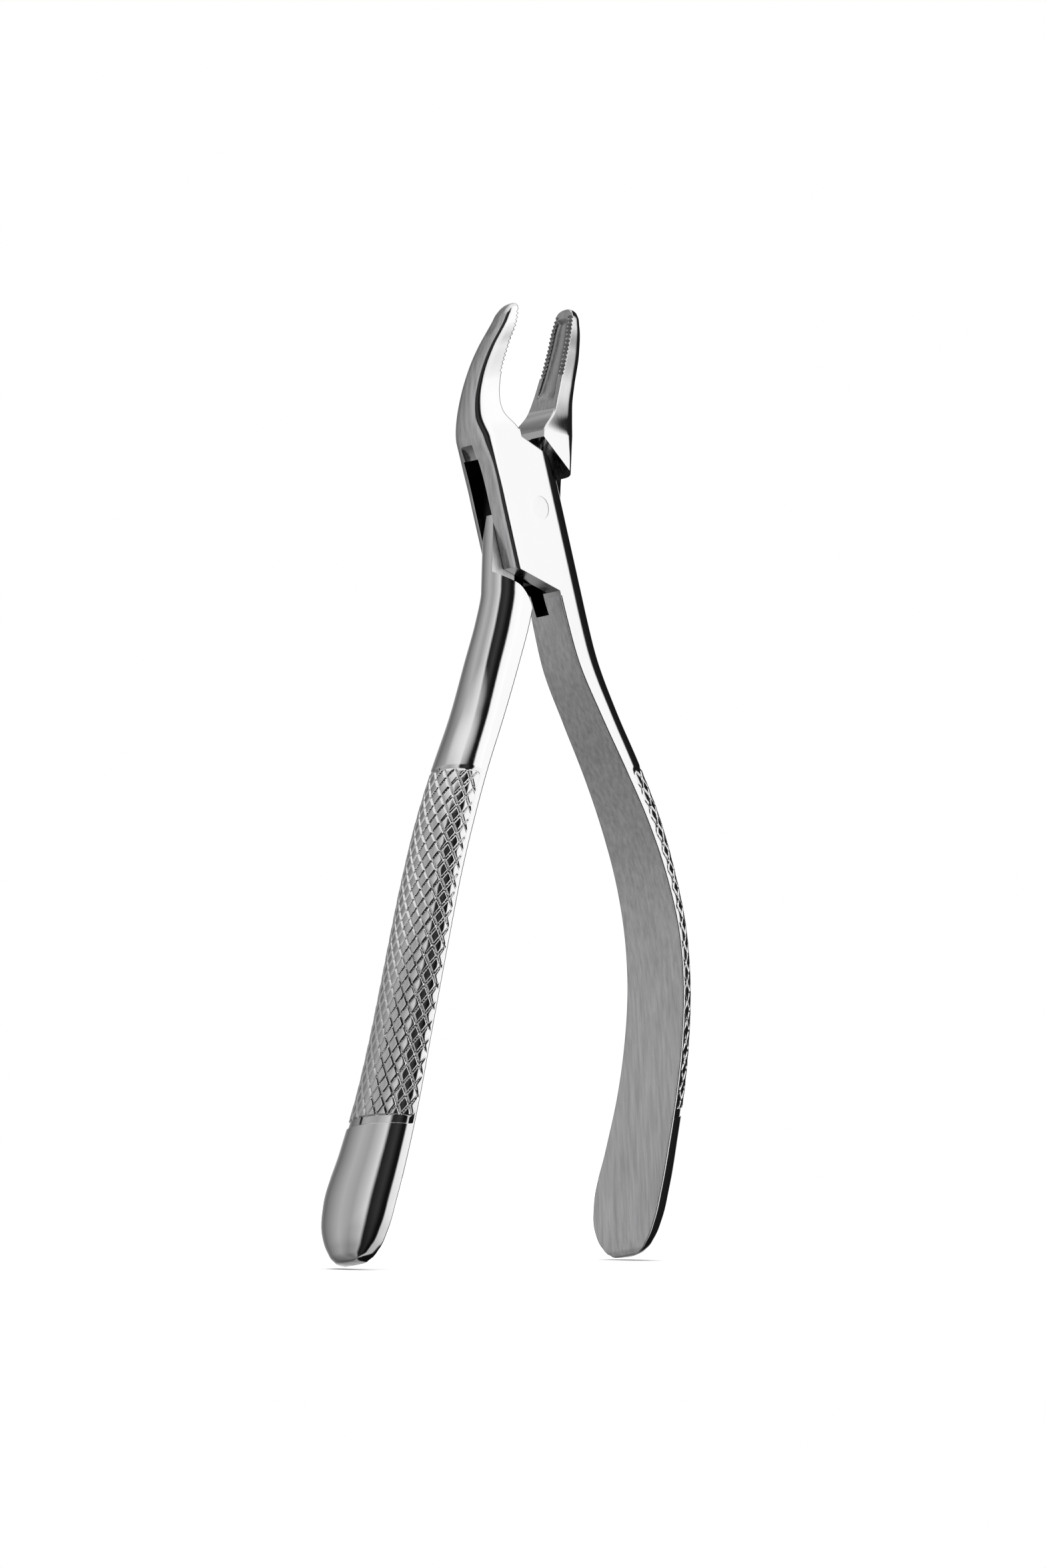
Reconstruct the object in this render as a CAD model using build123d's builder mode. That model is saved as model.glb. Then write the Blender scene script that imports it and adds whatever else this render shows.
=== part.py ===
"""Extraction forceps: two forged arms crossing in a box joint on one riveted pin.

Frame: the forceps stands upright on its handle ends. +X is the opening direction, +Z runs
up to the beaks, -Y is the front. The origin is on the pivot axis, on the back cheek's face.
Both arms are drawn closed on planes of their own, and stand swung open by half_opening.
On those planes X is across, Y is up to the beaks, Z is the pivot axis, from mid-thickness.
"""

import os

from build123d import *

os.makedirs("parts", exist_ok=True)

# ---- driving dimensions, millimetres and degrees ----
joint_lean = 8.0  # the pivot axis points this far above the horizontal, towards the front
half_opening = 9.8  # swing of each arm from closed to the half-open rest position

box_thickness = 8.7
tongue_thickness = 3.6
tongue_middle = -0.8  # the tongue lies this far behind the middle of the box
side_clearance = 0.1  # between the tongue and each cheek
handle_side = 8.2  # half width of the box joint on the side that runs on into the handle
beak_side = 8.9  # half width on the side that runs on into the beak
tongue_arm_slimness = 0.9  # the tongue arm's beak and beak side against the box arm's
handle_side_round = 4.9  # reach of the rounding on the handle side
beak_side_round = 2.6  # reach of the rounding on the beak side
block_top = 14.5
block_bottom = -16.0

pin_diameter = 4.6
pin_clearance = 0.05  # radial, in the tongue
slot_radius = 13.6  # round ends of the slot, struck from the pivot
tongue_radius = 13.2
root_gap = 0.4  # each arm's root stops this far from the middle plane when closed

throat_height = 13.1  # where the cheeks' top edge leaves the throat
cheek_slope = -0.776  # of the cheeks' top edge, and of the shoulder that faces it
shoulder_lift = 0.5  # the shoulder stays this far above the cheeks' top edge
cheek_foot_inner = (0.6, -15.2)  # ends of the cheeks' slanting lower edge
cheek_foot_outer = (-8.9, -9.2)

reach = 150.0  # cutters run this far, well clear of the part

# Sections along an arm, as if closed: height, inner face, mid-thickness (front +), width,
# thickness, flat front strip, toe (degrees that the inner face turns towards the front).
handle_stations = [
    (-8.0, 0.6, 0.0, 8.0, 7.0, 3.0, 0.0),
    (-16.0, 0.4, -0.1, 8.6, 7.7, 2.9, 0.0),
    (-21.0, 1.0, -0.6, 9.0, 7.8, 2.8, 0.0),
    (-28.3, 2.4, -1.7, 9.5, 7.5, 2.6, 0.0),
    (-38.6, 5.4, -2.4, 10.1, 6.9, 2.2, 0.0),
    (-48.7, 8.7, -3.1, 10.9, 6.8, 1.8, 0.0),
    (-58.9, 11.6, -3.9, 12.1, 6.4, 1.3, 0.0),
    (-69.0, 13.7, -5.0, 13.1, 5.6, 0.9, 0.0),
    (-78.7, 14.7, -6.4, 13.8, 5.4, 0.7, 1.0),
    (-88.1, 14.8, -8.5, 14.1, 5.5, 0.6, 2.0),
    (-97.3, 14.2, -11.3, 14.4, 5.8, 0.6, 3.0),
    (-106.5, 13.2, -14.8, 15.0, 6.2, 0.6, 3.0),
    (-115.4, 12.1, -19.0, 16.0, 6.6, 0.6, 2.5),
    (-124.3, 11.1, -23.5, 16.8, 6.9, 0.6, 2.0),
    (-129.5, 10.5, -25.3, 14.8, 6.4, 0.6, 2.0),
    (-133.2, 10.3, -26.2, 10.0, 5.0, 0.6, 2.0),
    (-135.0, 10.5, -26.6, 5.0, 3.2, 0.5, 2.0),
]
beak_stations = [
    (8.0, 1.0, 0.0, 8.2, 7.4, 5.2, 0.0),
    (14.0, 0.6, 0.1, 8.4, 9.2, 6.0, 0.0),
    (18.4, 2.9, 0.7, 6.7, 6.8, 3.7, 5.0),
    (21.0, 3.2, 1.4, 5.9, 6.0, 3.1, 6.0),
    (24.0, 3.0, 2.6, 5.4, 5.5, 2.9, 6.0),
    (29.5, 1.8, 5.6, 4.9, 4.9, 2.4, 6.0),
    (33.8, 0.5, 8.1, 4.4, 3.6, 1.5, 6.0),
    (35.6, 0.3, 8.9, 3.5, 2.5, 0.9, 6.0),
    (36.5, 0.4, 9.3, 2.2, 1.5, 0.6, 6.0),
]

# Inner outline of a beak from the throat to the tip: distance from the middle plane, height.
beak_inner_line = [
    (0.5, 14.9),
    (2.3, 15.7),
    (3.3, 17.6),
    (3.5, 20.0),
    (3.1, 23.6),
    (2.1, 28.2),
    (0.1, 35.0),
]

# Front edge of the shoulder where the tongue widens into its handle.
handle_shoulder = [(9.2, -11.0), (7.4, -13.2), (3.8, -15.0), (1.4, -17.6), (0.2, -21.0)]

# ---- planes ----
joint_plane = Plane(
    origin=(0, 0, 0),
    x_dir=(1, 0, 0),
    z_dir=Vector(0, -1, 0).rotate(Axis.X, -joint_lean),
).offset(box_thickness / 2)


def swung_plane(swing):
    """The joint plane turned about the pivot axis, anticlockwise seen from the front."""
    pivot_axis = Axis((0, 0, 0), joint_plane.z_dir)
    return Plane(joint_plane.origin, joint_plane.x_dir.rotate(pivot_axis, swing), joint_plane.z_dir)


box_plane = swung_plane(half_opening)
tongue_plane = swung_plane(-half_opening)


def slice_plane(arm, side, height, inner=0.0, middle=0.0, toe=0.0):
    """Plane across an arm at one height: local X points outwards, local Y to the front."""
    across = Plane(
        origin=arm.from_local_coords((side * inner, height, middle)),
        x_dir=arm.x_dir * side,
        z_dir=arm.y_dir * -side,
    )
    outwards = across.x_dir.rotate(Axis((0, 0, 0), across.z_dir), -toe)
    return Plane(across.origin, outwards, across.z_dir)


def half_round(width, thickness, strip):
    """Section with a flat inner side on the local Y axis and a rounded outer side."""
    with BuildSketch() as section:
        with BuildLine():
            Line((0, -width / 2), (0, width / 2))
            Line((0, width / 2), (strip, width / 2))
            EllipticalCenterArc(
                (strip, 0), thickness - strip, width / 2, start_angle=-90, arc_size=180
            )
            Line((strip, -width / 2), (0, -width / 2))
        make_face()
    return section.sketch


def block_section(slimness=1.0):
    """Section across the closed box joint, with the handle's side along local +X."""
    half = box_thickness / 2
    handle_flat = handle_side - handle_side_round
    beak_flat = beak_side_round - beak_side * slimness
    with BuildSketch() as section:
        with BuildLine():
            Line((beak_flat, half), (handle_flat, half))
            EllipticalCenterArc(
                (handle_flat, 0), handle_side_round, half, start_angle=-90, arc_size=180
            )
            Line((handle_flat, -half), (beak_flat, -half))
            EllipticalCenterArc(
                (beak_flat, 0), beak_side_round, half, start_angle=90, arc_size=180
            )
        make_face()
    return section.sketch


def top_gap(side):
    """Outline of all that lies above the cheeks' top edge and inside the beak."""
    throat = [(-side * x, y) for x, y in beak_inner_line]
    corner = (throat[0][0], throat_height)
    edge_end = (side * reach, throat_height + cheek_slope * (reach + beak_inner_line[0][0]))
    with BuildSketch() as outline:
        with BuildLine():
            Spline(*throat)
            Polyline(throat[-1], (throat[-1][0], reach), (side * reach, reach), edge_end)
            Polyline(edge_end, corner, throat[0])
        make_face()
    return outline.sketch


def foot_gap(side):
    """Outline of all that lies below the cheeks' lower edge, on the side without a handle."""
    inner = (side * cheek_foot_inner[0], cheek_foot_inner[1])
    outer = (side * cheek_foot_outer[0], cheek_foot_outer[1])
    beyond = Vector(*outer) * 2 - Vector(*inner)
    with BuildSketch() as outline:
        with BuildLine():
            Polyline(inner, beyond, (beyond.X, -reach), (inner[0], -reach), close=True)
        make_face()
    return outline.sketch


def slot_outline(side):
    """The slot: a disc about the pin, opened up and down where the other arm leaves it."""
    half_reach = reach / 2
    offset = half_reach - root_gap
    with BuildSketch() as outline:
        Circle(slot_radius)
        with Locations((-side * offset, -half_reach), (side * offset, half_reach)):
            Rectangle(reach, reach)
    return outline.sketch


def tongue_trim():
    """What the tongue loses at the two corners that turn inside the slot's round ends."""
    with BuildSketch() as outline:
        with Locations((-reach / 2, reach / 2), (reach / 2 - root_gap, -reach / 2)):
            Rectangle(reach, reach)
        Circle(tongue_radius, mode=Mode.SUBTRACT)
    return outline.sketch


def cheek_room(side):
    """Where the other arm's cheeks lie: between the handle's shoulder and the beak's."""
    shoulder = [(side * x, y) for x, y in handle_shoulder]
    wall_foot = (0, throat_height + shoulder_lift)
    wall_end = (-side * reach, wall_foot[1] + cheek_slope * reach)
    beyond = (side * reach, shoulder[0][1])
    with BuildSketch() as outline:
        with BuildLine():
            Spline(*shoulder)
            Polyline(shoulder[-1], (-side * reach, shoulder[-1][1] - reach), wall_end, wall_foot)
            Polyline(wall_foot, (0, reach), (side * reach, reach), beyond, shoulder[0])
        make_face()
    return outline.sketch


with BuildPart() as box_arm:
    for height, inner, middle, width, thickness, strip, toe in handle_stations:
        with BuildSketch(slice_plane(box_plane, 1, height, inner, middle, toe)):
            add(half_round(width, thickness, strip))
    loft()
    for height, inner, middle, width, thickness, strip, toe in beak_stations:
        with BuildSketch(slice_plane(box_plane, -1, height, inner, middle, toe)):
            add(half_round(width, thickness, strip))
    loft()
    with BuildSketch(slice_plane(box_plane, 1, block_top)):
        add(block_section())
    extrude(amount=block_top - block_bottom)
    with BuildSketch(box_plane.offset(-reach / 2)):
        add(top_gap(1))
    extrude(amount=reach, mode=Mode.SUBTRACT)
    with BuildSketch(box_plane.offset(-reach / 2)):
        add(foot_gap(1))
    extrude(amount=reach, mode=Mode.SUBTRACT)
    slot_thickness = tongue_thickness + 2 * side_clearance
    with BuildSketch(box_plane.offset(tongue_middle - slot_thickness / 2)):
        add(slot_outline(1))
    extrude(amount=slot_thickness, mode=Mode.SUBTRACT)
    with BuildSketch(box_plane.offset(-box_thickness)):
        Circle(pin_diameter / 2)
    extrude(amount=2 * box_thickness, mode=Mode.SUBTRACT)
box_arm.part.label = "box_arm"

with BuildPart() as tongue_arm:
    for height, inner, middle, width, thickness, strip, toe in handle_stations:
        with BuildSketch(slice_plane(tongue_plane, -1, height, inner, middle, toe)):
            add(half_round(width, thickness, strip))
    loft()
    for height, inner, middle, width, thickness, strip, toe in beak_stations:
        with BuildSketch(slice_plane(tongue_plane, 1, height, inner, middle, toe)):
            add(half_round(width, thickness * tongue_arm_slimness, strip))
    loft()
    with BuildSketch(slice_plane(tongue_plane, -1, block_bottom)):
        add(block_section(tongue_arm_slimness))
    extrude(amount=block_top - block_bottom)
    with BuildSketch(tongue_plane.offset(-reach / 2)):
        add(top_gap(-1))
    extrude(amount=reach, mode=Mode.SUBTRACT)
    with BuildSketch(tongue_plane.offset(-reach / 2)):
        add(tongue_trim())
    extrude(amount=reach, mode=Mode.SUBTRACT)
    tongue_front = tongue_middle + tongue_thickness / 2
    for start in (tongue_front, tongue_front - tongue_thickness - reach):
        with BuildSketch(tongue_plane.offset(start)):
            add(cheek_room(-1))
        extrude(amount=reach, mode=Mode.SUBTRACT)
    with BuildSketch(tongue_plane.offset(-box_thickness)):
        Circle(pin_diameter / 2 + pin_clearance)
    extrude(amount=2 * box_thickness, mode=Mode.SUBTRACT)
tongue_arm.part.label = "tongue_arm"

with BuildPart() as pivot_pin:
    with BuildSketch(joint_plane.offset(-box_thickness / 2)):
        Circle(pin_diameter / 2)
    extrude(amount=box_thickness)
pivot_pin.part.label = "pivot_pin"

export_step(box_arm.part, "parts/box_arm.step")
export_step(tongue_arm.part, "parts/tongue_arm.step")
export_step(pivot_pin.part, "parts/pivot_pin.step")
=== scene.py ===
"""Looks of the extraction forceps: polished arms with knurled handles, serrated beaks and a pin.

Each arm is one mesh, drawn closed on its own leaning plane and then swung open like the part.
On that plane X is across, Y runs up to the beaks and Z comes to the front, in millimetres.
"""

import math

import bmesh
import bpy
import numpy as np
from mathutils import Matrix, Vector


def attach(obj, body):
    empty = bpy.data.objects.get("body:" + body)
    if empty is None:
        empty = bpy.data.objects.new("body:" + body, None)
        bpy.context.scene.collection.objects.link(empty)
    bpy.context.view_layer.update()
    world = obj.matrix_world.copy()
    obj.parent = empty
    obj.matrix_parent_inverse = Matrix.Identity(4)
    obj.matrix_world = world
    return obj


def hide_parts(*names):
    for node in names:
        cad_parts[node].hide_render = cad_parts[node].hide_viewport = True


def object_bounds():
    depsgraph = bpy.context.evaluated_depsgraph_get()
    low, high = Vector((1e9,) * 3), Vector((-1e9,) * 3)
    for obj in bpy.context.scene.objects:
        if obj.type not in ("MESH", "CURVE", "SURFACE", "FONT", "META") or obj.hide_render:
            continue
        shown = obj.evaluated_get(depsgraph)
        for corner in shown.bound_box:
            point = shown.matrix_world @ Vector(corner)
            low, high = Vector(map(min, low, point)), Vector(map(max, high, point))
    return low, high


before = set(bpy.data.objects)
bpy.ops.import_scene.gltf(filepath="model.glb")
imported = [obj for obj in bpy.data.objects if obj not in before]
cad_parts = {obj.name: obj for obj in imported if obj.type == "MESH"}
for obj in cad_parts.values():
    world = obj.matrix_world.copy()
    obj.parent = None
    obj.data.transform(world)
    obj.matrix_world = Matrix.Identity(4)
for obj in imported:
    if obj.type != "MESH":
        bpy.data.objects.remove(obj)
cad_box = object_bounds()

MM = 0.001
JOINT_LEAN = math.radians(8.0)
HALF_OPENING = math.radians(9.8)
BOX_THICKNESS = 8.7
TONGUE_THICKNESS = 3.6
SLOT_THICKNESS = 3.8
TONGUE_MIDDLE = -0.8
TONGUE_ARM_SLIMNESS = 0.9
SLOT_RADIUS = 13.6
TONGUE_RADIUS = 13.2
ROOT_GAP = 0.4
PIN_RADIUS = 2.3
HANDLE_SIDE = 8.2
BLOCK_LOW = -16.0  # the box joint's block lies between these heights
BLOCK_HIGH = 14.5
BLOCK_CORNER = (1.3, 1.7)  # reach of its beak-side corners at the bottom
BLOCK_CORNER_RISE = 2.65  # how much further they reach across the edge at the top
BLOCK_BLEND = 3.0  # above this height the block turns into the beak
HANDLE_CORNER = 4.9
THROAT_HEIGHT = 13.1
CHEEK_SLOPE = -0.776
SHOULDER_LIFT = 0.5
FAR = 60.0  # cutters reach this far

# height, inner face, mid-thickness, width, thickness, flat front strip, toe in degrees
HANDLE = [
    (-11.0, 0.42, 0.0, 8.7, 7.78, 2.88, 0.0),
    (-16.0, 0.42, 0.0, 8.7, 7.78, 2.88, 0.0),
    (-21.0, 1.0, -0.6, 9.0, 7.7, 2.8, 0.0),
    (-28.3, 2.4, -1.7, 9.5, 7.5, 2.6, 0.0),
    (-38.6, 5.4, -2.4, 10.1, 6.9, 2.2, 0.0),
    (-48.7, 8.7, -3.1, 10.9, 6.8, 1.8, 0.0),
    (-58.9, 11.6, -3.9, 12.1, 6.4, 1.3, 0.0),
    (-69.0, 13.7, -5.0, 13.1, 5.6, 0.9, 0.0),
    (-78.7, 14.7, -6.4, 13.8, 5.4, 0.7, 1.0),
    (-88.1, 14.8, -8.5, 14.1, 5.5, 0.6, 2.0),
    (-97.3, 14.2, -11.3, 14.4, 5.8, 0.6, 3.0),
    (-106.5, 13.2, -14.8, 15.0, 6.2, 0.6, 3.0),
    (-115.4, 12.1, -19.0, 16.0, 6.6, 0.6, 2.5),
    (-124.3, 11.1, -23.5, 16.8, 6.9, 0.6, 2.0),
    (-129.5, 10.5, -25.3, 14.8, 6.4, 0.6, 2.0),
    (-132.6, 10.3, -26.0, 11.2, 5.3, 0.6, 2.0),
    (-134.2, 10.5, -26.4, 7.6, 4.0, 0.5, 2.0),
    (-134.8, 10.9, -26.6, 4.6, 2.6, 0.4, 2.0),
    (-135.0, 11.6, -26.7, 1.4, 1.0, 0.2, 2.0),
]
BEAK = [
    (2.0, 0.6, 0.0, 8.7, 8.3, 7.3, 0.0),
    (6.0, 0.6, 0.0, 8.7, 8.3, 7.2, 0.0),
    (10.0, 0.6, 0.0, 8.7, 8.55, 6.8, 0.0),
    (14.5, 0.6, 0.0, 8.7, 9.15, 6.0, 0.0),
    (18.4, 2.9, 0.7, 6.7, 6.8, 3.7, 5.0),
    (21.0, 3.2, 1.4, 5.9, 6.0, 3.1, 6.0),
    (24.0, 3.0, 2.6, 5.4, 5.5, 2.9, 6.0),
    (29.5, 1.8, 5.6, 4.9, 4.9, 2.4, 6.0),
    (33.8, 0.5, 8.1, 4.4, 3.6, 1.5, 6.0),
    (35.4, 0.3, 8.8, 3.7, 2.7, 1.0, 6.0),
    (36.1, 0.3, 9.1, 2.7, 1.8, 0.8, 6.0),
    (36.4, 0.4, 9.25, 1.6, 1.1, 0.4, 6.0),
    (36.5, 0.5, 9.3, 0.7, 0.5, 0.2, 6.0),
]
EDGE = 0.4  # rounding of the long edges of a handle's flat inner face
BEAK_EDGE = EDGE * 0.7
EDGE_SHARE = 0.3  # of the width or thickness, at most, where these are small
ROUND = 2.0  # squareness of an elliptic corner; a larger number is squarer
BEAK_SQUARENESS = 3.0

KNURL_TOP = -49.5
KNURL_BOTTOM = -110.5
KNURL_PITCH_ALONG = 3.4
KNURL_PITCH_AROUND = 2.27
GROOVE_HALF = 0.25
GROOVE_DEPTH = 0.30
LAND_HALF = 0.95
LAND_CROWN = 0.025
RELIEF_WIDTH = 1.4  # plain band turned below the knurl
RELIEF_DEPTH = 0.28
TOP_RELIEF_DEPTH = 0.12
TOP_RELIEF_FALL = 0.3  # above the knurl's top, where the shallow band starts to run out
TOP_RELIEF_END = 0.9

TOOTH_PITCH = 0.68
TOOTH_DEPTH = 0.42
TEETH_BOTTOM = 25.0
TEETH_TOP = 35.2
FLUTE_BOTTOM = 20.5
FLUTE_TOP = 35.0
FLUTE_DEPTH = 0.7
FLUTE_RIM = 0.9  # width of the toothed rim on either side of the flute
FLUTE_RUN_IN = 2.2
FLUTE_RUN_OUT = 1.2
FULL_FLUTE_WIDTH = 4.2  # on a narrower beak the flute is shallower
FULL_TOOTH_THICKNESS = 2.5  # on a thinner beak the teeth are shallower

SIDE_STEPS = 40  # points along the flat of either side of a section
ROUND_STEPS = 66  # points along each rounded corner
FACE_STEPS = 8  # points along the front and the back
SECTION_POINTS = 2 * (SIDE_STEPS + FACE_STEPS) + 4 * ROUND_STEPS

POLISH, SATIN, GROUND, KNURLED, PAINTED_SHADE, WORN, MATT = range(7)  # material slots of an arm

SHOULDER = [(9.2, -11.0), (7.4, -13.2), (3.8, -15.0), (1.4, -17.6), (0.2, -21.0)]
FOOT_LEFT = (-8.9, -9.2)  # the foot of the cheeks slants down between these points
FOOT_RIGHT = (0.6, -15.2)
POCKET = [(-12.0, 3.0), (-12.0, 11.0), (-9.0, 10.8), (-7.0, 10.3), (-4.0, 9.5), (-4.0, 3.0)]
POCKET_INSET = (0.02, 0.03)  # how far it stays inside the slot, at the back and at the front
SCOOP_INSET = (0.4, 0.3)
MOUTH_INSET = (-0.5, 1.1)
SCOOP_CENTRE = (-13.4, 9.9)
SCOOP_RADIUS = 5.2
MOUTH = [
    (-1.0, -13.0), (2.0, -12.4), (3.4, -15.0), (3.1, -16.4),
    (3.4, -17.3), (2.4, -18.2), (2.2, -18.9), (-1.0, -19.0),
]

EDGE_POLISH = 0.6  # faces that look this much to the front or the back are polished
INNER_FACE = 0.6  # faces that look this much inwards, above the joint, are worn
WORN_HEIGHT = 14.0
SMOOTH_ANGLE = math.radians(32)
TONGUE_SHOWS = 2.5  # the tongue's front shows from here out to its side
TONGUE_SIDE = 8.07
TONGUE_FRONT_TOP = 9.0
HIDDEN_SIDE = (5.0, -2.0, 13.5, 1.85)  # least X, heights and half depth of its side, painted near-black as shade
ROOT_LOW = -26.0  # the part between these heights is cut to the shape of the joint
ROOT_HIGH = 19.0
HANDLE_END = (-135.0, -134.95, -134.85, -134.7, -134.5, -134.2, -133.8, -133.3)
HANDLE_END_TOP = -132.7
BEAK_END = [35.0, 35.2, 35.4, 35.6, 35.8, 36.0, 36.15, 36.27, 36.36, 36.43, 36.48, 36.5]
JUMP = 0.01  # from the last ring of one shape to the first of the next
WELD = 0.004  # points closer than this are joined
LOWER_TILT = 0.013  # of a cutter's far edge, so that the cutters' faces don't fall together
UPPER_TILT = 0.011


# ---- materials ----
def steel(name, colour, roughness, spread, bump, scale, stretch, edge=0.0, grain=0.0):
    """Steel with smudges and fine lines in its roughness and relief.

    The roughness varies by spread either way, and the lines are as long as stretch makes them.
    edge rounds sharp edges by that many millimetres, and grain puts the lines in the colour too.
    """
    material = bpy.data.materials.new(name)
    material.use_nodes = True
    nodes = material.node_tree.nodes
    links = material.node_tree.links
    shader = nodes["Principled BSDF"]
    shader.inputs["Base Color"].default_value = (*colour, 1)
    shader.inputs["Metallic"].default_value = 1.0
    place = nodes.new("ShaderNodeTexCoord")
    mapping = nodes.new("ShaderNodeMapping")
    mapping.inputs["Scale"].default_value = stretch
    lines = nodes.new("ShaderNodeTexNoise")
    lines.inputs["Scale"].default_value = scale
    lines.inputs["Detail"].default_value = 6.0
    lines.inputs["Roughness"].default_value = 0.6
    smudges = nodes.new("ShaderNodeTexNoise")
    smudges.inputs["Scale"].default_value = 140.0
    smudges.inputs["Detail"].default_value = 3.0
    links.new(place.outputs["Object"], mapping.inputs["Vector"])
    links.new(mapping.outputs["Vector"], lines.inputs["Vector"])
    links.new(place.outputs["Object"], smudges.inputs["Vector"])
    both = nodes.new("ShaderNodeMath")
    both.operation = "MULTIPLY_ADD"
    both.inputs[1].default_value = 0.6
    links.new(smudges.outputs["Fac"], both.inputs[0])
    links.new(lines.outputs["Fac"], both.inputs[2])
    spread_out = nodes.new("ShaderNodeMapRange")
    spread_out.inputs["From Min"].default_value = 0.55
    spread_out.inputs["From Max"].default_value = 1.05
    spread_out.inputs["To Min"].default_value = roughness - spread
    spread_out.inputs["To Max"].default_value = roughness + spread
    links.new(both.outputs[0], spread_out.inputs["Value"])
    links.new(spread_out.outputs["Result"], shader.inputs["Roughness"])
    relief = nodes.new("ShaderNodeBump")
    relief.inputs["Strength"].default_value = bump
    relief.inputs["Distance"].default_value = 0.00004
    links.new(lines.outputs["Fac"], relief.inputs["Height"])
    if edge:
        rounding = nodes.new("ShaderNodeBevel")
        rounding.samples = 4
        rounding.inputs["Radius"].default_value = edge * MM
        links.new(rounding.outputs["Normal"], relief.inputs["Normal"])
    links.new(relief.outputs["Normal"], shader.inputs["Normal"])
    if grain:
        tone = nodes.new("ShaderNodeValToRGB")
        for stop, at, factor in zip(tone.color_ramp.elements, (0.3, 0.7), (1 - grain, 1 + grain)):
            stop.position = at
            stop.color = (*(min(1, c * factor) for c in colour), 1)
        links.new(lines.outputs["Fac"], tone.inputs["Fac"])
        links.new(tone.outputs["Color"], shader.inputs["Base Color"])
    return material


def grey(level):
    return (level, level, level)


EVEN = (1, 1, 1)
DRAWN = (1, 1, 0.06)  # fine lines along the piece
polished = steel("polished_steel", grey(0.66), 0.075, 0.03, 0.08, 900, (1, 1, 0.3), edge=0.2)
satin = steel(
    "satin_steel", (0.56, 0.56, 0.57), 0.30, 0.06, 0.3, 1500, (1, 1, 0.04), grain=0.22
)
ground = steel(
    "ground_steel", grey(0.5), 0.28, 0.08, 0.3, 2200, (0.2, 0.2, 1), edge=0.2, grain=0.2
)
knurled = steel("knurled_steel", grey(0.62), 0.09, 0.04, 0.1, 1500, EVEN)
# near-black painted shade for the faces inside the slot, its pocket and mouth, the tongue's hidden
# side and ends, and the pin bore
dark = steel("slot_painted_shade", grey(0.02), 0.6, 0.1, 0.05, 900, EVEN)
worn = steel("worn_steel", grey(0.42), 0.30, 0.08, 0.3, 2600, DRAWN, grain=0.2)
matt = steel("matt_steel", grey(0.80), 0.48, 0.06, 0.4, 2600, (1, 0.4, 0.1), grain=0.15)
ARM_STEELS = [polished, satin, ground, knurled, dark, worn, matt]
pin_steel = steel("pin_steel", grey(0.66), 0.14, 0.05, 0.15, 1500, EVEN)


def smooth_rows(rows, heights):
    """Rows of numbers against height, as smooth curves read at many heights."""
    table = np.array(sorted(rows))
    y = table[:, 0]
    values = table[:, 1:]
    step = np.diff(y)[:, None]
    slope = np.diff(values, axis=0) / step
    tangent = np.empty_like(values)
    tangent[1:-1] = (slope[:-1] * step[1:] + slope[1:] * step[:-1]) / (step[1:] + step[:-1])
    tangent[0] = slope[0]
    tangent[-1] = slope[-1]
    i = np.clip(np.searchsorted(y, heights) - 1, 0, len(y) - 2)
    h = step[i]
    t = ((heights - y[i])[:, None]) / h
    return (
        (2 * t**3 - 3 * t**2 + 1) * values[i]
        + (t**3 - 2 * t**2 + t) * h * tangent[i]
        + (-2 * t**3 + 3 * t**2) * values[i + 1]
        + (t**3 - t**2) * h * tangent[i + 1]
    )


def ease(x, low, high):
    """0 below low, 1 above high, smooth in between."""
    t = np.clip((x - low) / (high - low), 0.0, 1.0)
    return t * t * (3 - 2 * t)


def section(left, right, width, left_round, right_round):
    """Closed outline of a section in (u, v): flat front and back, rounded or flat sides.

    left_round and right_round are (reach in u, reach in v, squareness) of the corners.
    The points run up the left side, along the front, down the right side and along the back.
    """
    half = width / 2
    points = []

    def corner(side_u, direction, reach, sign, rising):
        angles = np.linspace(0, math.pi / 2, ROUND_STEPS, endpoint=False)
        if not rising:
            angles = math.pi / 2 - angles
        power = 2 / reach[2]
        for a in angles:
            u = side_u + direction * reach[0] * (1 - abs(math.cos(a)) ** power)
            v = sign * (half - reach[1] * (1 - abs(math.sin(a)) ** power))
            points.append((u, v))

    def flat(a, b, steps):
        for i in range(steps):
            t = i / steps
            points.append((a[0] + (b[0] - a[0]) * t, a[1] + (b[1] - a[1]) * t))

    lf = half - left_round[1]
    rf = half - right_round[1]
    flat((left, -lf), (left, lf), SIDE_STEPS)
    corner(left, 1, left_round, 1, True)
    flat((left + left_round[0], half), (right - right_round[0], half), FACE_STEPS)
    corner(right, -1, right_round, 1, False)
    flat((right, rf), (right, -rf), SIDE_STEPS)
    corner(right, -1, right_round, -1, True)
    flat((right - right_round[0], -half), (left + left_round[0], -half), FACE_STEPS)
    corner(left, 1, left_round, -1, False)
    return np.array(points)


def handle_ring(row):
    """Ring of a handle, drawn with the handle on +X."""
    height, inner, middle, width, thickness, strip, toe = row
    edge = min(EDGE, width * EDGE_SHARE, thickness * EDGE_SHARE)
    outline = section(
        0, thickness, width, (edge, edge, ROUND), (thickness - strip, width / 2, ROUND)
    )
    u, v = outline[:, 0].copy(), outline[:, 1].copy()
    if KNURL_BOTTOM - RELIEF_WIDTH < height < KNURL_TOP + RELIEF_WIDTH:
        depth = knurl_depth(height, outline)
        normal_u, normal_v = outline_normals(outline)
        u -= normal_u * depth
        v -= normal_v * depth
    c, s = math.cos(math.radians(toe)), math.sin(math.radians(toe))
    return np.column_stack([inner + u * c + v * s, np.full(len(u), height), middle - u * s + v * c])


def outline_normals(outline):
    """The two parts of the outward direction at each point of an outline."""
    ahead = np.roll(outline, -1, axis=0)
    behind = np.roll(outline, 1, axis=0)
    d = ahead - behind
    length = np.maximum(np.hypot(d[:, 0], d[:, 1]), 1e-9)
    return -d[:, 1] / length, d[:, 0] / length


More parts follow.
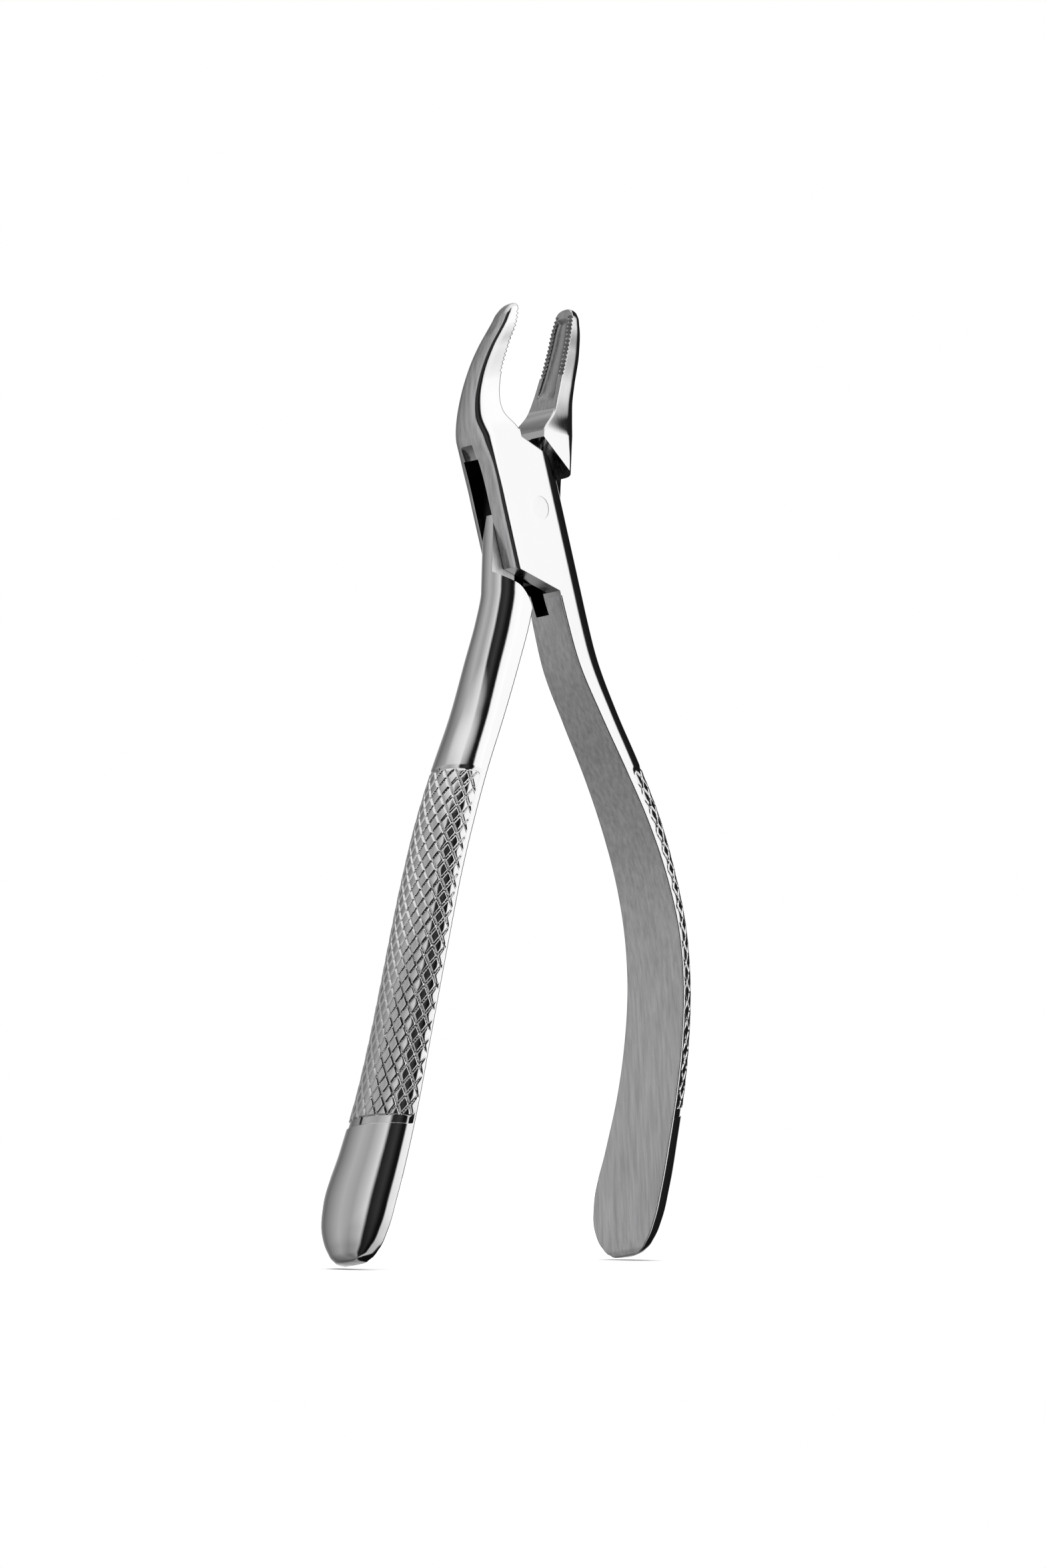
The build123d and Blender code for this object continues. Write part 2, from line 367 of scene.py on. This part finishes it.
def knurl_depth(height, outline):
    """How far the crossing grooves and the plain bands at their ends cut in at each point."""
    d = np.hypot(*(np.roll(outline, -1, axis=0) - outline).T)
    run = np.concatenate([[0], np.cumsum(d)[:-1]])
    start = 2 * ROUND_STEPS + SIDE_STEPS + FACE_STEPS
    middle = run[start + SIDE_STEPS // 2]
    around = run - middle
    half_arc = middle - run[start - ROUND_STEPS]
    on_arc = 1 - ease(np.abs(around), half_arc - 0.9, half_arc + 0.3)
    band = ease(height, KNURL_BOTTOM - 0.25, KNURL_BOTTOM + 0.25)
    band *= 1 - ease(height, KNURL_TOP - 0.2, KNURL_TOP + 0.2)
    per_mm = math.hypot(1 / KNURL_PITCH_ALONG, 1 / KNURL_PITCH_AROUND)
    cut = np.zeros(len(outline))
    for turn in (1, -1):
        phase = height / KNURL_PITCH_ALONG + turn * around / KNURL_PITCH_AROUND
        away = np.abs(phase - np.round(phase)) / per_mm
        groove = np.clip(1 - away / GROOVE_HALF, 0, 1)
        dome = LAND_CROWN * np.clip(1 - away / LAND_HALF, 0, 1) ** 2
        cut = np.maximum(cut, GROOVE_DEPTH * groove + dome)
    relief = (1 - ease(height, KNURL_BOTTOM - 0.05, KNURL_BOTTOM + 0.15)) * ease(
        height, KNURL_BOTTOM - RELIEF_WIDTH, KNURL_BOTTOM - RELIEF_WIDTH + 0.12
    )
    top_relief = ease(height, KNURL_TOP - 0.1, KNURL_TOP + 0.1) * (
        1 - ease(height, KNURL_TOP + TOP_RELIEF_FALL, KNURL_TOP + TOP_RELIEF_END)
    )
    return on_arc * (cut * band + RELIEF_DEPTH * relief + TOP_RELIEF_DEPTH * top_relief)


def block_ring(height, slimness):
    """Ring of the closed box joint, with the handle's side on +X."""
    inner, _, _, thickness, strip, _ = smooth_rows(BEAK, np.array([max(height, BLOCK_BLEND)]))[0]
    up = float(ease(height, BLOCK_BLEND, BLOCK_HIGH))
    across, deep = BLOCK_CORNER
    top_across = (thickness - strip) * slimness
    left_round = (
        across + (top_across - across) * up,
        deep + BLOCK_CORNER_RISE * up,
        ROUND + (BEAK_SQUARENESS - ROUND) * up,
    )
    side = inner + thickness * slimness
    outline = section(
        -side, HANDLE_SIDE, BOX_THICKNESS, left_round, (HANDLE_CORNER, BOX_THICKNESS / 2, ROUND)
    )
    return np.column_stack([outline[:, 0], np.full(len(outline), height), outline[:, 1]])


def beak_ring(row, slimness):
    """Ring of a beak, drawn with the beak on -X and its flat face towards +X."""
    height, inner, middle, width, thickness, strip, toe = row
    thickness *= slimness
    strip *= slimness
    edge = min(BEAK_EDGE, width * EDGE_SHARE, thickness * EDGE_SHARE)
    outline = section(
        -thickness, 0, width, (thickness - strip, width / 2, BEAK_SQUARENESS), (edge, edge, ROUND)
    )
    u, v = outline[:, 0].copy(), outline[:, 1]
    inside = 1 - ease(-u, 0.5, 1.1)
    flute_half = max(width / 2 - FLUTE_RIM, 0.3)
    flute = np.clip(1 - (v / flute_half) ** 2, 0, 1) ** 0.5
    flute *= ease(height, FLUTE_BOTTOM, FLUTE_BOTTOM + FLUTE_RUN_IN)
    flute *= 1 - ease(height, FLUTE_TOP - FLUTE_RUN_OUT, FLUTE_TOP)
    cut = FLUTE_DEPTH * flute * min(1.0, width / FULL_FLUTE_WIDTH)
    if TEETH_BOTTOM < height < TEETH_TOP:
        phase = (height - TEETH_BOTTOM) / TOOTH_PITCH
        wave = abs(phase - math.floor(phase) - 0.5) * 2
        rim = ease(np.abs(v), flute_half - 0.1, flute_half + 0.2)
        cut = cut + TOOTH_DEPTH * (1 - wave) * rim * min(1.0, thickness / FULL_TOOTH_THICKNESS)
    u -= cut * inside
    c, s = math.cos(math.radians(toe)), math.sin(math.radians(toe))
    return np.column_stack(
        [-inner + u * c - v * s, np.full(len(u), height), middle + u * s + v * c]
    )


def spaced(low, high, step):
    """Even heights from low to high, no further apart than step."""
    count = max(2, int(math.ceil((high - low) / step)) + 1)
    return list(np.linspace(low, high, count))


def tube(rings, cap_low, cap_high, zones):
    """Mesh through rings from low to high. zones gives each ring's point its material index."""
    coords = np.concatenate(rings)
    n = SECTION_POINTS
    faces = []
    for r in range(len(rings) - 1):
        a = r * n
        b = a + n
        for i in range(n):
            j = (i + 1) % n
            faces.append((a + i, a + j, b + j, b + i))
    mesh = bpy.data.meshes.new("tube")
    if cap_low:
        faces.append(tuple(range(n - 1, -1, -1)))
    if cap_high:
        top = (len(rings) - 1) * n
        faces.append(tuple(range(top, top + n)))
    mesh.from_pydata((coords * MM).tolist(), [], faces)
    index = np.tile(np.array(zones), len(rings) - 1)
    index = np.concatenate([index, np.zeros(len(faces) - len(index), dtype=int)])
    mesh.polygons.foreach_set("material_index", index.astype(np.int32))
    return mesh


def ring_zones(left, right):
    """Material of each face round a ring: one for the left side, one for the right."""
    return (
        [left] * (SIDE_STEPS + ROUND_STEPS)
        + [POLISH] * FACE_STEPS
        + [right] * (SIDE_STEPS + 2 * ROUND_STEPS)
        + [POLISH] * FACE_STEPS
        + [left] * ROUND_STEPS
    )


def weld(bm):
    """Joins points that fall together and turns all the faces outwards."""
    bmesh.ops.remove_doubles(bm, verts=bm.verts, dist=WELD * MM)
    bmesh.ops.dissolve_degenerate(bm, edges=bm.edges, dist=WELD / 4 * MM)
    bmesh.ops.recalc_face_normals(bm, faces=bm.faces)


def clean(mesh):
    """Welds a mesh in place."""
    bm = bmesh.new()
    bm.from_mesh(mesh)
    weld(bm)
    bm.to_mesh(mesh)
    bm.free()


def prism(outline, low, high, zone):
    """Cutter: an outline in X and Y, from low to high in Z. What it cuts gets that material."""
    bm = bmesh.new()
    bottom = [bm.verts.new((x * MM, y * MM, low * MM)) for x, y in outline]
    top = [bm.verts.new((x * MM, y * MM, high * MM)) for x, y in outline]
    bm.faces.new(bottom)
    bm.faces.new(top)
    for i in range(len(outline)):
        j = (i + 1) % len(outline)
        bm.faces.new((bottom[i], bottom[j], top[j], top[i]))
    bmesh.ops.recalc_face_normals(bm, faces=bm.faces)
    mesh = bpy.data.meshes.new("cutter")
    bm.to_mesh(mesh)
    bm.free()
    mesh.materials.append(ARM_STEELS[zone])
    return mesh


def arc(radius, start, end, steps=48):
    """Points on a circle about the pivot, from start to end in degrees."""
    angles = np.radians(np.linspace(start, end, steps))
    return [(radius * math.cos(a), radius * math.sin(a)) for a in angles]


def curve_points(points, steps=12):
    """A smooth line through points, by even parameter."""
    rows = [(i, x, y) for i, (x, y) in enumerate(points)]
    at = np.linspace(0, len(points) - 1, (len(points) - 1) * steps + 1)
    return [tuple(p) for p in smooth_rows(rows, at)]


def cut(mesh, cutters):
    """The mesh with each cutter taken away, exactly."""
    body = bpy.data.objects.new("cut_body", mesh)
    bpy.context.collection.objects.link(body)
    helpers = []
    for cutter in cutters:
        helper = bpy.data.objects.new("cutter", cutter)
        bpy.context.collection.objects.link(helper)
        helpers.append(helper)
        modifier = body.modifiers.new("cut", "BOOLEAN")
        modifier.operation = "DIFFERENCE"
        modifier.solver = "EXACT"
        modifier.material_mode = "TRANSFER"
        modifier.object = helper
    depsgraph = bpy.context.evaluated_depsgraph_get()
    result = bpy.data.meshes.new_from_object(body.evaluated_get(depsgraph))
    for obj in [body] + helpers:
        bpy.data.objects.remove(obj)
    return result


def drop_caps(mesh, heights):
    """Takes off the flat closing faces at these heights."""
    bm = bmesh.new()
    bm.from_mesh(mesh)
    doomed = [
        f
        for f in bm.faces
        if abs(f.normal.y) > 0.99
        and any(abs(f.calc_center_median().y - h * MM) < 0.002 * MM for h in heights)
    ]
    bmesh.ops.delete(bm, geom=doomed, context="FACES")
    bm.to_mesh(mesh)
    bm.free()


def mark_edges(bm):
    """Runs the polish from the front and back round their edges, and wears the beak's inside."""
    for face in bm.faces:
        inwards = face.normal.x > INNER_FACE and face.verts[0].co.y > WORN_HEIGHT * MM
        if face.material_index in (SATIN, WORN) and abs(face.normal.z) > EDGE_POLISH:
            face.material_index = POLISH
        elif face.material_index == SATIN and inwards:
            face.material_index = WORN


def mark_tongue(bm):
    """The tongue as it lies in the slot: its side in near-black painted shade, and a matt front
    laid over its cut.
    """
    least_x, low, high, half_depth = HIDDEN_SIDE
    for face in bm.faces:
        x, y, z = face.calc_center_median() / MM
        if x > least_x and low < y < high and abs(z - TONGUE_MIDDLE) < half_depth:
            face.material_index = PAINTED_SHADE
    foot = [(x, y) for x, y in curve_points(SHOULDER) if TONGUE_SHOWS < x < TONGUE_SIDE]
    top = [(TONGUE_SIDE, TONGUE_FRONT_TOP), (TONGUE_SHOWS, TONGUE_FRONT_TOP)]
    outline = top + foot[::-1] + [(TONGUE_SIDE, foot[0][1])]
    depth = TONGUE_MIDDLE + TONGUE_THICKNESS / 2
    front = bm.faces.new([bm.verts.new((x * MM, y * MM, depth * MM)) for x, y in outline])
    front.material_index = MATT


def handle_mesh():
    """The handle below the joint, open at its top, with the knurl's own material on its band."""
    heights = list(HANDLE_END)
    heights += spaced(HANDLE_END_TOP, KNURL_BOTTOM - RELIEF_WIDTH - 0.05, 0.6)
    heights += spaced(KNURL_BOTTOM - RELIEF_WIDTH, KNURL_TOP + 1.0, 0.13)
    heights += spaced(KNURL_TOP + 1.4, ROOT_LOW, 0.7)
    rows = smooth_rows(HANDLE, np.array(heights))
    rings = [handle_ring((h, *row)) for h, row in zip(heights, rows)]
    mesh = tube(rings, True, False, ring_zones(SATIN, POLISH))
    marks = np.zeros(len(mesh.polygons), dtype=np.int32)
    mesh.polygons.foreach_get("material_index", marks)
    first = SIDE_STEPS + ROUND_STEPS + FACE_STEPS - 2
    last = FACE_STEPS + ROUND_STEPS - 2
    for r, height in enumerate(heights[:-1]):
        if KNURL_BOTTOM - RELIEF_WIDTH < height < KNURL_TOP + 0.5:
            ring = marks[r * SECTION_POINTS : (r + 1) * SECTION_POINTS]
            ring[first:-last] = KNURLED
    mesh.polygons.foreach_set("material_index", marks)
    return mesh


def root_mesh(cutters, slimness):
    """The part round the joint, cut to shape and open at both ends."""
    heights = spaced(ROOT_LOW, BLOCK_LOW, 0.7)
    rows = smooth_rows(HANDLE, np.array(heights))
    rings = [handle_ring((h, *row)) for h, row in zip(heights, rows)]
    rings += [block_ring(h, slimness) for h in spaced(BLOCK_LOW + JUMP, BLOCK_HIGH, 1.0)]
    heights = spaced(BLOCK_HIGH + JUMP, ROOT_HIGH, 0.5)
    rows = smooth_rows(BEAK, np.array(heights))
    rings += [beak_ring((h, *row), slimness) for h, row in zip(heights, rows)]
    mesh = tube(rings, True, True, ring_zones(SATIN, POLISH))
    for material in ARM_STEELS:
        mesh.materials.append(material)
    clean(mesh)
    mesh = cut(mesh, cutters)
    drop_caps(mesh, (ROOT_LOW, ROOT_HIGH))
    return mesh


def beak_mesh(slimness):
    """The beak above the joint, open at its foot, with its teeth and its flute."""
    heights = spaced(ROOT_HIGH, 24.0, 0.4) + spaced(24.1, 34.9, 0.1)
    heights += BEAK_END
    rows = smooth_rows(BEAK, np.array(heights))
    rings = [beak_ring((h, *row), slimness) for h, row in zip(heights, rows)]
    for ring in rings:  # the slimmer beak is a little shorter too
        ring[:, 1] -= (1 - slimness) * 0.5 * (ring[:, 1] - ROOT_HIGH)
    return tube(rings, False, True, ring_zones(SATIN, WORN))


def arm_mesh(cutters, slimness):
    """One arm as if closed, with its handle on +X and its beak on -X."""
    bm = bmesh.new()
    for mesh in (handle_mesh(), root_mesh(cutters, slimness), beak_mesh(slimness)):
        bm.from_mesh(mesh)
    weld(bm)
    mark_edges(bm)
    if slimness < 1:
        mark_tongue(bm)
    mesh = bpy.data.meshes.new("arm")
    bm.to_mesh(mesh)
    bm.free()
    return mesh


def top_cutter():
    """Takes the block away above the cheeks' sloping top, on the handle's side."""
    end = THROAT_HEIGHT + CHEEK_SLOPE * (FAR + 0.5)
    return prism([(-0.5, THROAT_HEIGHT), (FAR, end), (FAR, FAR), (-0.5, FAR)], -FAR, FAR, POLISH)


def foot_cutter():
    """Takes the block away below the cheeks' slanting foot, on the beak's side."""
    slope = (FOOT_LEFT[1] - FOOT_RIGHT[1]) / (FOOT_LEFT[0] - FOOT_RIGHT[0])
    left_end = FOOT_RIGHT[1] + slope * (-FAR - FOOT_RIGHT[0])
    corner = FOOT_RIGHT[1] + slope * (ROOT_GAP - FOOT_RIGHT[0])
    outline = [(ROOT_GAP, corner), (-FAR, left_end), (-FAR, -FAR), (ROOT_GAP, -FAR)]
    return prism(outline, -FAR, FAR, GROUND)


def slot_cutters():
    """The slot, and what its milling left: a pocket and a scoop at its top, a mouth below. The
    slot, pocket and mouth are lined with near-black painted shade.
    """
    low = TONGUE_MIDDLE - SLOT_THICKNESS / 2
    high = TONGUE_MIDDLE + SLOT_THICKNESS / 2
    disc = arc(SLOT_RADIUS, 0, 360, 129)[:-1]
    lower = [(ROOT_GAP, 0), (-FAR, LOWER_TILT), (-FAR, -FAR), (ROOT_GAP, -FAR)]
    upper = [(-ROOT_GAP, 0), (FAR, UPPER_TILT), (FAR, FAR), (-ROOT_GAP, FAR)]
    ring = arc(SCOOP_RADIUS, 0, 360, 41)[:-1]
    scoop = [(x + SCOOP_CENTRE[0], y + SCOOP_CENTRE[1]) for x, y in ring]
    return [
        prism(disc, low, high, PAINTED_SHADE),
        prism(lower, low, high, PAINTED_SHADE),
        prism(upper, low, high, PAINTED_SHADE),
        prism(POCKET, low + POCKET_INSET[0], high - POCKET_INSET[1], PAINTED_SHADE),
        prism(scoop, low + SCOOP_INSET[0], high - SCOOP_INSET[1], SATIN),
        prism(MOUTH, low + MOUTH_INSET[0], high - MOUTH_INSET[1], PAINTED_SHADE),
    ]


def tongue_cutters():
    """Handle on +X here: the mirror of the part's tongue arm."""
    trim_a = [(x, y) for x, y in arc(TONGUE_RADIUS, 90, 0)] + [(FAR, 0), (FAR, FAR), (0, FAR)]
    end = math.degrees(math.asin(ROOT_GAP / TONGUE_RADIUS))
    trim_b = arc(TONGUE_RADIUS, 180, 270 + end) + [(ROOT_GAP, -FAR), (-FAR, -FAR), (-FAR, 0)]
    shoulder = curve_points(SHOULDER)
    wall_foot = (0, THROAT_HEIGHT + SHOULDER_LIFT)
    wall_end = (-FAR, wall_foot[1] + CHEEK_SLOPE * FAR)
    room = shoulder + [(-FAR, shoulder[-1][1] - FAR), wall_end, wall_foot, (0, FAR), (FAR, FAR)]
    room += [(FAR, shoulder[0][1])]
    low = TONGUE_MIDDLE - TONGUE_THICKNESS / 2
    high = TONGUE_MIDDLE + TONGUE_THICKNESS / 2
    return [
        # the tongue's rounded ends and the pin bore, inside the slot, get near-black painted shade
        prism(trim_a, -FAR, FAR, PAINTED_SHADE),
        prism(trim_b, -FAR, FAR, PAINTED_SHADE),
        prism(room, high, FAR, POLISH),
        prism(room, -FAR, low, POLISH),
        prism(arc(PIN_RADIUS + 0.05, 0, 360, 65)[:-1], -FAR, FAR, PAINTED_SHADE),
    ]


def arm_plane(swing):
    """Places an arm's plane in the row frame, swung about the pivot axis."""
    lean = Matrix.Rotation(math.pi / 2 - JOINT_LEAN, 4, "X")
    centre = lean.to_3x3() @ Vector((0, 0, BOX_THICKNESS / 2 * MM))
    return Matrix.Translation(centre) @ lean @ Matrix.Rotation(swing, 4, "Z")


def make_arm(name, cutters, side, slimness, body, node):
    """Swings one arm open, to the side its handle is on, ties it to its body and hides its node."""
    mesh = arm_mesh(cutters, slimness)
    if side < 0:
        mesh.transform(Matrix.Scale(-1, 4, (1, 0, 0)))
        mesh.flip_normals()
    mesh.transform(arm_plane(side * HALF_OPENING))
    mesh.shade_smooth()
    mesh.set_sharp_from_angle(angle=SMOOTH_ANGLE)
    mesh.name = name
    obj = bpy.data.objects.new(name, mesh)
    bpy.context.collection.objects.link(obj)
    for material in ARM_STEELS:
        mesh.materials.append(material)
    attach(obj, body)
    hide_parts(node)
    return obj


def pin_mesh():
    """The riveted pin: a cylinder whose two faces have a fine chamfer and a slight crown."""
    half = BOX_THICKNESS / 2
    profile = [(0.0, -0.006), (1.2, -0.005), (1.9, -0.004), (2.2, -0.002), (PIN_RADIUS, 0.02)]
    bm = bmesh.new()
    rings = []
    for sign in (-1, 1):
        rows = profile if sign < 0 else profile[::-1]
        for radius, drop in rows:
            z = sign * (half - drop) * MM
            if radius == 0:
                rings.append([bm.verts.new((0, 0, z))])
            else:
                rings.append(
                    [bm.verts.new((x * MM, y * MM, z)) for x, y in arc(radius, 0, 360, 65)[:-1]]
                )
    for a, b in zip(rings, rings[1:]):
        count = max(len(a), len(b))
        for i in range(count):
            j = (i + 1) % count
            if len(a) == 1:
                bm.faces.new((a[0], b[j], b[i]))
            elif len(b) == 1:
                bm.faces.new((a[i], a[j], b[0]))
            else:
                bm.faces.new((a[i], a[j], b[j], b[i]))
    bmesh.ops.recalc_face_normals(bm, faces=bm.faces)
    mesh = bpy.data.meshes.new("pin")
    bm.to_mesh(mesh)
    bm.free()
    return mesh


# ---- pieces ----
box_cutters = [top_cutter(), foot_cutter()] + slot_cutters()
make_arm("box_arm_steel", box_cutters, 1, 1.0, "box_arm_body", "box_arm")
tongue_cut = [top_cutter()] + tongue_cutters()
make_arm(
    "tongue_arm_steel", tongue_cut, -1, TONGUE_ARM_SLIMNESS,
    "tongue_arm_body", "tongue_arm",
)

pin = bpy.data.objects.new("pivot_pin_steel", pin_mesh())
bpy.context.collection.objects.link(pin)
pin.data.transform(arm_plane(0))
pin.data.shade_smooth()
pin.data.materials.append(pin_steel)
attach(pin, "box_arm_body")
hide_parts("pivot_pin")

# ---- floor ----
FLOOR_RADIUS = 0.55
bpy.ops.mesh.primitive_circle_add(
    vertices=128, radius=FLOOR_RADIUS, fill_type="NGON", location=(0, 0, cad_box[0][2])
)
floor = bpy.context.object
floor.name = "floor"
floor.visible_glossy = False  # the steel reflects the studio round it, not the floor
floor_material = bpy.data.materials.new("pale_floor")
floor_material.use_nodes = True
floor_shader = floor_material.node_tree.nodes["Principled BSDF"]
floor_shader.inputs["Base Color"].default_value = (0.9, 0.9, 0.9, 1)
floor_shader.inputs["Roughness"].default_value = 0.9
floor_shader.inputs["Specular IOR Level"].default_value = 0.1
floor.data.materials.append(floor_material)

PANELS = [
    (-180, 0.20), (-155, 0.38), (-125, 0.62), (-98, 0.50), (-78, 0.75), (-64, 1.0), (-55, 0.02),
    (-30, 0.06), (-12, 0.01), (2, 0.01), (8, 1.4), (38, 1.5), (50, 1.38), (57, 0.02), (116, 0.01),
    (124, 0.9), (145, 0.7), (162, 0.3), (180, 0.20),
]
BRIGHTEST = 2.0  # the ramp holds the values as shares of this
LOW_DIRECTIONS = (-0.9, -0.3)  # the room darkens towards the floor between these
FLOOR_DIMMING = 0.45
HIGH_DIRECTIONS = (0.62, 0.8)  # and turns into an even ceiling between these
CEILING = 0.6


def sky_math(sky, operation, first, second):
    """A math node on two sockets, or on a socket and a number."""
    node = sky.nodes.new("ShaderNodeMath")
    node.operation = operation
    sky.links.new(first, node.inputs[0])
    if isinstance(second, (int, float)):
        node.inputs[1].default_value = second
    else:
        sky.links.new(second, node.inputs[1])
    return node.outputs[0]


def sky_range(sky, value, low, high, bottom=0.0):
    """Bottom below low, 1 above high."""
    node = sky.nodes.new("ShaderNodeMapRange")
    node.inputs["From Min"].default_value = low
    node.inputs["From Max"].default_value = high
    node.inputs["To Min"].default_value = bottom
    sky.links.new(value, node.inputs["Value"])
    return node.outputs["Result"]


def studio_world():
    """A white backdrop to the camera, and a room of light and dark panels to everything else."""
    world = bpy.data.worlds.new("studio")
    world.use_nodes = True
    sky = world.node_tree
    sky.nodes.clear()
    direction = sky.nodes.new("ShaderNodeTexCoord")
    split = sky.nodes.new("ShaderNodeSeparateXYZ")
    sky.links.new(direction.outputs["Generated"], split.inputs[0])
    front = sky_math(sky, "MULTIPLY", split.outputs["Y"], -1)
    azimuth = sky_math(sky, "ARCTAN2", split.outputs["X"], front)
    turn = sky_range(sky, azimuth, -math.pi, math.pi)

    ramp = sky.nodes.new("ShaderNodeValToRGB")
    stops = ramp.color_ramp.elements
    while len(stops) > 1:
        stops.remove(stops[0])
    for i, (degrees, value) in enumerate(PANELS):
        position = (degrees + 180) / 360
        stop = stops[0] if i == 0 else stops.new(position)
        stop.position = position
        stop.color = (*grey(value / BRIGHTEST), 1)
    sky.links.new(turn, ramp.inputs["Fac"])

    above = sky.nodes.new("ShaderNodeMix")
    above.data_type = "RGBA"
    above.inputs["B"].default_value = (*grey(CEILING), 1)
    overhead = sky_range(sky, split.outputs["Z"], *HIGH_DIRECTIONS)
    sky.links.new(overhead, above.inputs["Factor"])
    sky.links.new(ramp.outputs["Color"], above.inputs["A"])

    room = sky.nodes.new("ShaderNodeBackground")
    below = sky_range(sky, split.outputs["Z"], *LOW_DIRECTIONS, FLOOR_DIMMING)
    sky.links.new(sky_math(sky, "MULTIPLY", below, BRIGHTEST), room.inputs["Strength"])
    sky.links.new(above.outputs["Result"], room.inputs["Color"])
    backdrop = sky.nodes.new("ShaderNodeBackground")
    backdrop.inputs["Color"].default_value = (*grey(1), 1)
    rays = sky.nodes.new("ShaderNodeLightPath")
    chosen = sky.nodes.new("ShaderNodeMixShader")
    sky.links.new(rays.outputs["Is Camera Ray"], chosen.inputs[0])
    sky.links.new(room.outputs[0], chosen.inputs[1])
    sky.links.new(backdrop.outputs[0], chosen.inputs[2])
    world_out = sky.nodes.new("ShaderNodeOutputWorld")
    sky.links.new(chosen.outputs[0], world_out.inputs["Surface"])
    return world


bpy.context.scene.world = studio_world()

overhead_data = bpy.data.lights.new("overhead_softbox", "AREA")
overhead_data.shape = "RECTANGLE"
overhead_data.size = 1.2
overhead_data.size_y = 1.2
overhead_data.energy = 26
overhead_light = bpy.data.objects.new("overhead_softbox", overhead_data)
overhead_light.location = (0, 0, 1.3)
overhead_light.visible_camera = False
overhead_light.visible_glossy = False
bpy.context.collection.objects.link(overhead_light)

# ---- camera ----
VIEW_AZIMUTH = math.radians(-44)
DISTANCE = 2.5
FRAME_HEIGHT = 0.2787  # of the whole picture, at the pivot, in metres
AIM = Vector((0, -0.0043, -0.0478))
camera_data = bpy.data.cameras.new("camera")
camera_data.sensor_width = 36
camera_data.lens = camera_data.sensor_width * DISTANCE / FRAME_HEIGHT
camera = bpy.data.objects.new("camera", camera_data)
towards_camera = Vector((math.sin(VIEW_AZIMUTH), -math.cos(VIEW_AZIMUTH), 0))
camera.location = AIM + towards_camera * DISTANCE
camera.rotation_mode = "QUATERNION"
camera.rotation_quaternion = (-towards_camera).to_track_quat("-Z", "Y")
camera_data.clip_start = 0.05
camera_data.clip_end = 20
bpy.context.collection.objects.link(camera)
bpy.context.scene.camera = camera
bpy.context.scene.view_settings.view_transform = "Standard"
